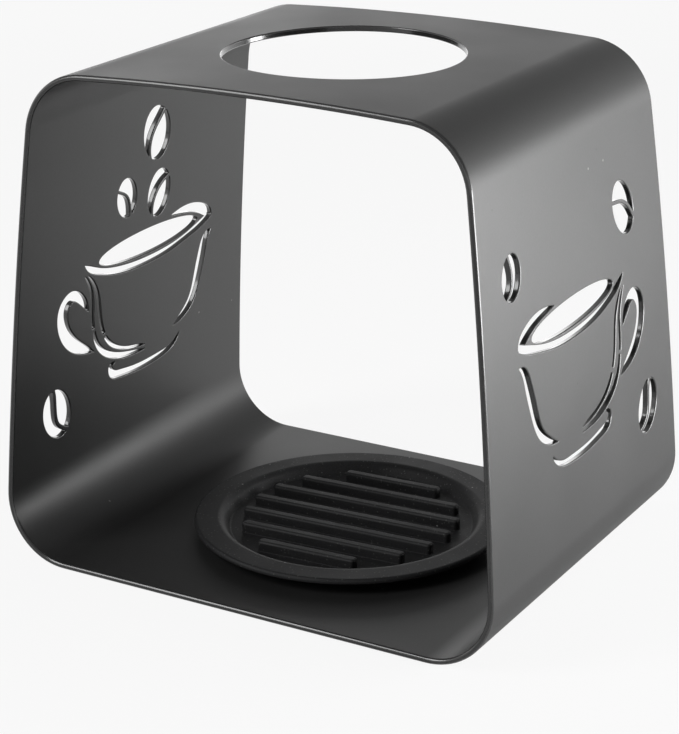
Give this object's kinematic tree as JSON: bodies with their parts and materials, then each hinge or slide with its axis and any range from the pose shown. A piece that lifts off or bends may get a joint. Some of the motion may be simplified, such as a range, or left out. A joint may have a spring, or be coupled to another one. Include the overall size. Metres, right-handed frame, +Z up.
{
  "type": "pour over dripper stand",
  "caption": "Open band of bent sheet steel whose round top hole carries a coffee dripper over a server, with cup and bean cut-outs in its walls and a ribbed drip mat on its base.",
  "frame": {"origin": "middle of the base's underside, on the surface that the stand rests on", "axes": "+Z up, X across the width, Y along the depth with the open front at -Y"},
  "size_m": [0.1628, 0.128, 0.1506],
  "materials": {
    "powder_coat": "fine-grained matte black powder coat on sheet steel",
    "silicone": "matte moulded silicone rubber"
  },
  "bodies": {
    "root": {"stand": "powder_coat", "drip_mat": "silicone"}
  },
  "joints": []
}
